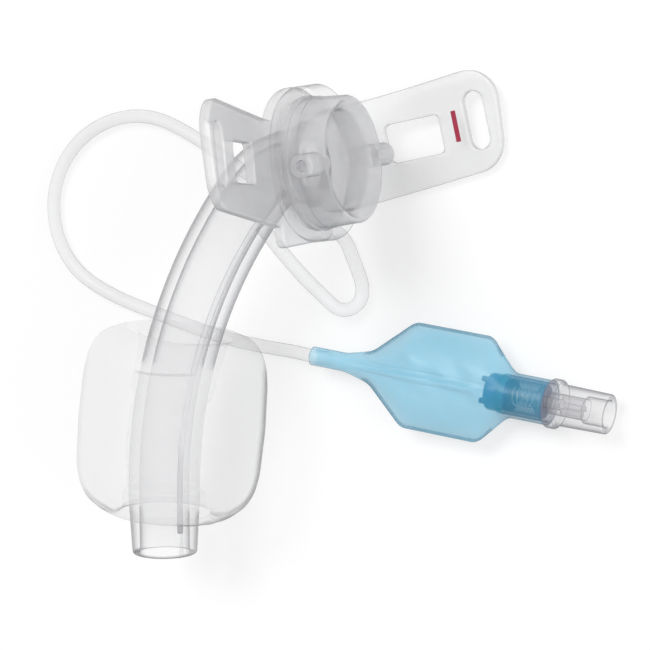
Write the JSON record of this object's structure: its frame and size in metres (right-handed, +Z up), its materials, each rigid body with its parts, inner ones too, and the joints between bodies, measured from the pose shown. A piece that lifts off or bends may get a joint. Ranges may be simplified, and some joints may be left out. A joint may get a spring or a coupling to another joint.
{
  "type": "cuffed tracheostomy tube",
  "caption": "Curved clear airway tube with a cuff, a winged neck plate, a swivelling cup connector, and a thin line to a pilot balloon with a spring valve.",
  "frame": {"origin": "on the resting surface, under the middle of the box round the tube, cuff, plate and connector", "axes": "+X out of the connector's mouth, +Y towards the patient's head, +Z up from the surface it lies on"},
  "size_m": [0.0993, 0.0735, 0.0585],
  "materials": {
    "clear_tube": "clear soft vinyl",
    "clear_plate": "clear soft vinyl",
    "frosted_connector": "translucent grey, moulded",
    "cuff_film": "thin clear film",
    "inflation_line": "clear vinyl",
    "balloon_film": "light blue clear film",
    "valve_clear": "clear moulded",
    "valve_white": "moulded",
    "seal_rubber": "soft",
    "spring_steel": "drawn wire"
  },
  "bodies": {
    "tube": {"outer_tube": "clear_tube", "channel_plug": "clear_tube", "cuff": "cuff_film", "neck_plate": "clear_plate", "hub_ring": "clear_plate", "connector_seal": "seal_rubber", "inflation_line": "inflation_line", "pilot_balloon": "balloon_film", "valve_body": "valve_clear", "valve_insert": "valve_white", "valve_spring": "spring_steel"},
    "connector": {"connector": "frosted_connector"},
    "plunger": {"valve_plunger": "valve_white", "valve_seal": "seal_rubber"}
  },
  "joints": [
    {"name": "connector_swivel", "type": "hinge", "parent": "tube", "child": "connector", "pos_m": [0.00807, 0.023, 0.01926], "axis": [1, 0, 0], "continuous": true},
    {"name": "plunger_slide", "type": "slide", "parent": "tube", "child": "plunger", "axis": [-0.9681, 0.2504, 0], "range_m": [0, 0.0014], "stiffness_N_per_m": 300, "springref_m": -0.001, "deforming": ["valve_spring"]}
  ]
}
